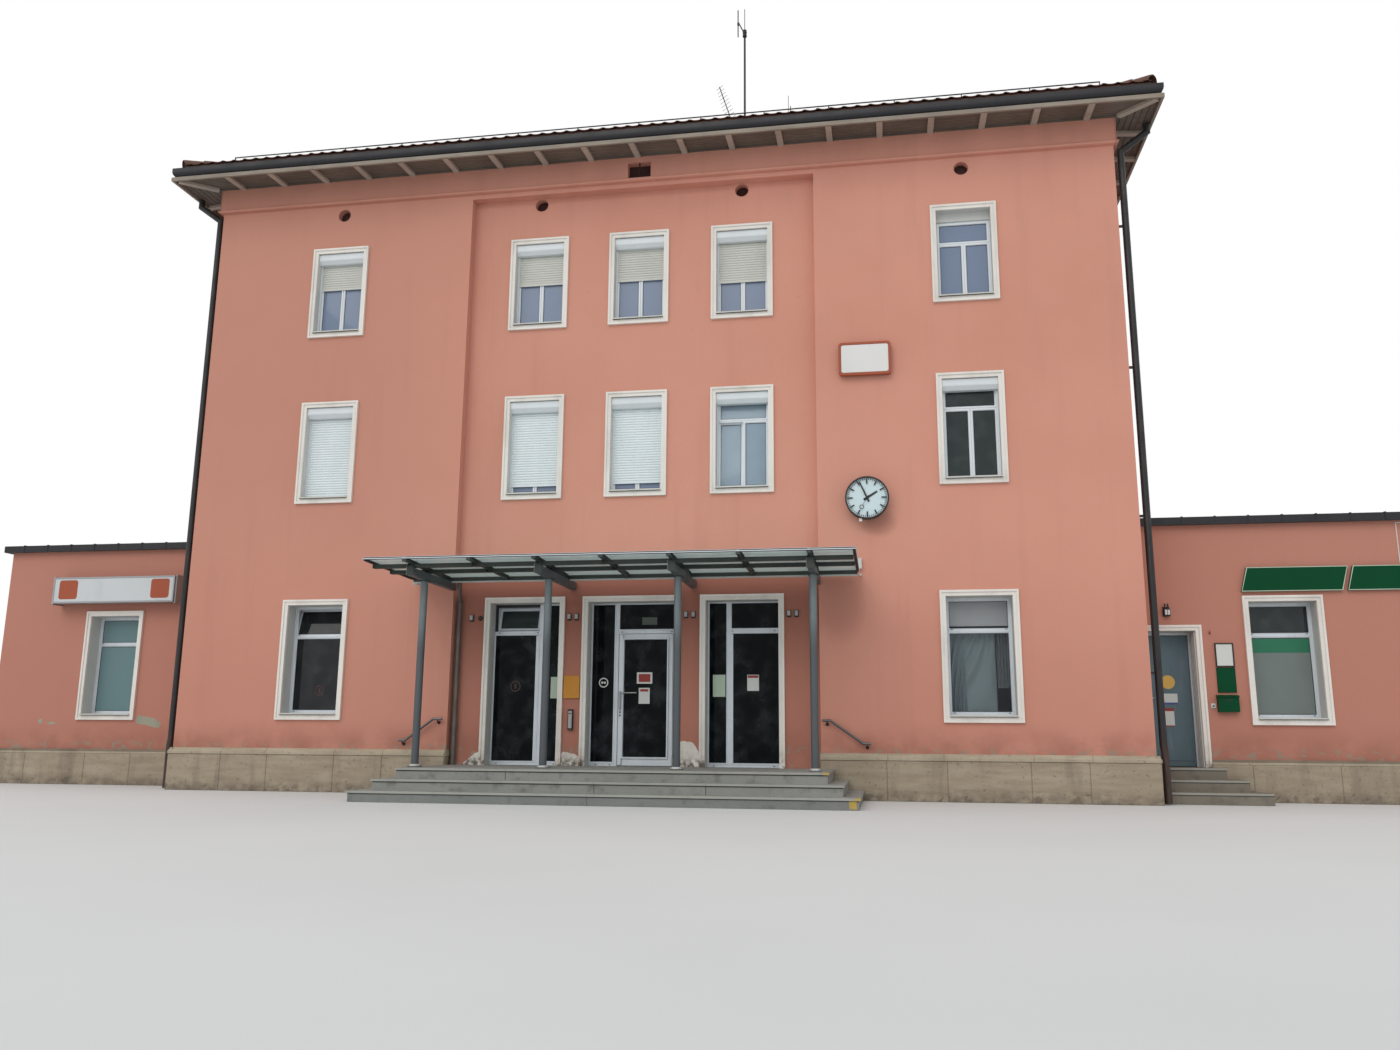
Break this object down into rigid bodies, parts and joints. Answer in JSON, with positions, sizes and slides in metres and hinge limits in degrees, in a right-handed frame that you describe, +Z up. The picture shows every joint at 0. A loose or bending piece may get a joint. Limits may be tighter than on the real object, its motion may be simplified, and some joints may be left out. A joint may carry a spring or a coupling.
{
  "type": "railway station building",
  "caption": "Three-storey rendered station building with hipped roof, glass entrance canopy, wall clock, roller shutters and a one-storey wing on each side.",
  "frame": {"origin": "on level ground at the middle of the main block's street front, in the plane of the wall face, under the entrance landing", "axes": "+X along the street front to the right as seen from the street, +Y into the building, +Z up"},
  "size_m": [27.598, 14.072, 17.76],
  "materials": {
    "render": "matt",
    "trim": "matt",
    "sandstone": "matt",
    "granite": "matt",
    "concrete": "matt",
    "roof_tile": "matt",
    "roofing": "matt",
    "timber": "satin",
    "zinc": "satin",
    "white_plastic": "satin",
    "cream_plastic": "matt",
    "frame_metal": "satin",
    "sill_metal": "satin",
    "glass": "clear",
    "milky_glass": "frosted",
    "steel_paint": "satin",
    "handrail_metal": "satin",
    "steel": "brushed",
    "sign_red": "satin",
    "sign_box": "satin",
    "sign_green": "satin",
    "clock_metal": "satin",
    "dial": "satin",
    "hand_black": "matt",
    "door_paint": "satin"
  },
  "bodies": {
    "building": {"aerial_mast": "steel", "back_wall": "render", "canopy_beams": "steel_paint", "canopy_columns": "steel_paint", "canopy_drain": "steel_paint", "canopy_glass": "milky_glass", "canopy_grid": "steel_paint", "clock_case": "clock_metal", "clock_dial": "dial", "door_piers": "render", "door_surrounds": "trim", "eave_boards": "timber", "eaves_band": "render", "entrance_base": "concrete", "entrance_frames": "frame_metal", "entrance_panes": "glass", "entrance_steps": "granite", "front_wall_centre": "render", "front_wall_left": "render", "front_wall_right": "render", "ground_floor": "concrete", "ground_window_frames": "frame_metal", "ground_window_panes": "glass", "gutters": "zinc", "handrails": "handrail_metal", "landing": "granite", "left_wing_walls": "render", "light_box_sign": "sign_box", "office_signs": "sign_green", "plinth": "sandstone", "rafter_tails": "timber", "rainwater_pipes": "zinc", "ridge_and_hip_tiles": "roof_tile", "right_wing_walls": "render", "roller_shutters": "cream_plastic", "roof_slopes": "roof_tile", "shutter_boxes": "white_plastic", "side_wall_left": "render", "side_wall_right": "render", "snow_guards": "zinc", "soffit_boards": "timber", "station_sign": "sign_red", "upper_floors": "concrete", "upper_window_frames": "white_plastic", "upper_window_panes": "glass", "wall_plates": "timber", "window_sills": "sill_metal", "window_surrounds": "trim", "wing_door_frame": "frame_metal", "wing_floors": "concrete", "wing_plinths": "sandstone", "wing_roof_edges": "zinc", "wing_roofs": "roofing", "wing_steps": "granite"},
    "entrance_door": {"entrance_door_leaf": "frame_metal", "entrance_door_pane": "glass", "entrance_door_handle": "steel"},
    "wing_door": {"wing_door_leaf": "door_paint"},
    "minute_hand": {"clock_minute_hand": "hand_black"},
    "hour_hand": {"clock_hour_hand": "hand_black"}
  },
  "joints": [
    {"name": "entrance_door", "type": "hinge", "parent": "building", "child": "entrance_door", "pos_m": [0.636, 0.417, 1.5], "axis": [0, 0, 1], "range_deg": [0, 90]},
    {"name": "wing_door", "type": "hinge", "parent": "building", "child": "wing_door", "pos_m": [8.92, 1.633, 1.5], "axis": [0, 0, -1], "range_deg": [0, 90]},
    {"name": "minute_hand", "type": "hinge", "parent": "building", "child": "minute_hand", "pos_m": [3.853, -0.205, 4.668], "axis": [0, 1, 0], "continuous": true},
    {"name": "hour_hand", "type": "hinge", "parent": "building", "child": "hour_hand", "pos_m": [3.853, -0.205, 4.668], "axis": [0, 1, 0], "continuous": true}
  ],
  "couplings": [
    {"joint": "hour_hand", "follows": "minute_hand", "ratio": 0.083333}
  ]
}
